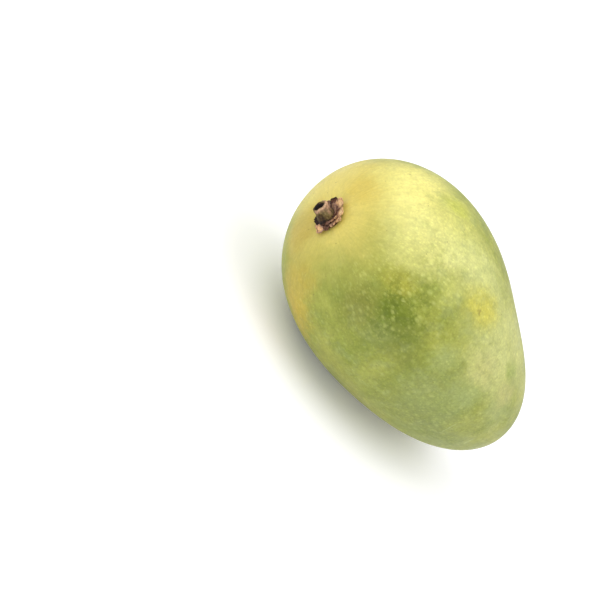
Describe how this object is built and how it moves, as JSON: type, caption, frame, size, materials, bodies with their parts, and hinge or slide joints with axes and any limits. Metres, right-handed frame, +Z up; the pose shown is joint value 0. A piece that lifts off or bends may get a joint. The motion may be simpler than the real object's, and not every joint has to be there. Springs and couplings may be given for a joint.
{
  "type": "mango",
  "caption": "Whole mango: an oblique oval fruit lying on its cheek, with the dried, hollow stub of its stem at the blunt end.",
  "frame": {"origin": "on the floor, under the middle of the whole fruit and stub", "axes": "+X along the fruit from the stem end to the apex, +Y towards the fuller shoulder, +Z up through the cheeks"},
  "size_m": [0.1322, 0.0858, 0.0812],
  "materials": {
    "skin": "waxy fruit skin with a soft satin gloss, green ripening to yellow round the stem, freckled with fine pale dots",
    "dried_stem": "dried, wrinkled and torn stem tissue, matt, tan on the flaps and dark brown in the creases and the hollow"
  },
  "bodies": {
    "root": {"fruit": "skin", "stem_stub": "dried_stem"}
  },
  "joints": []
}
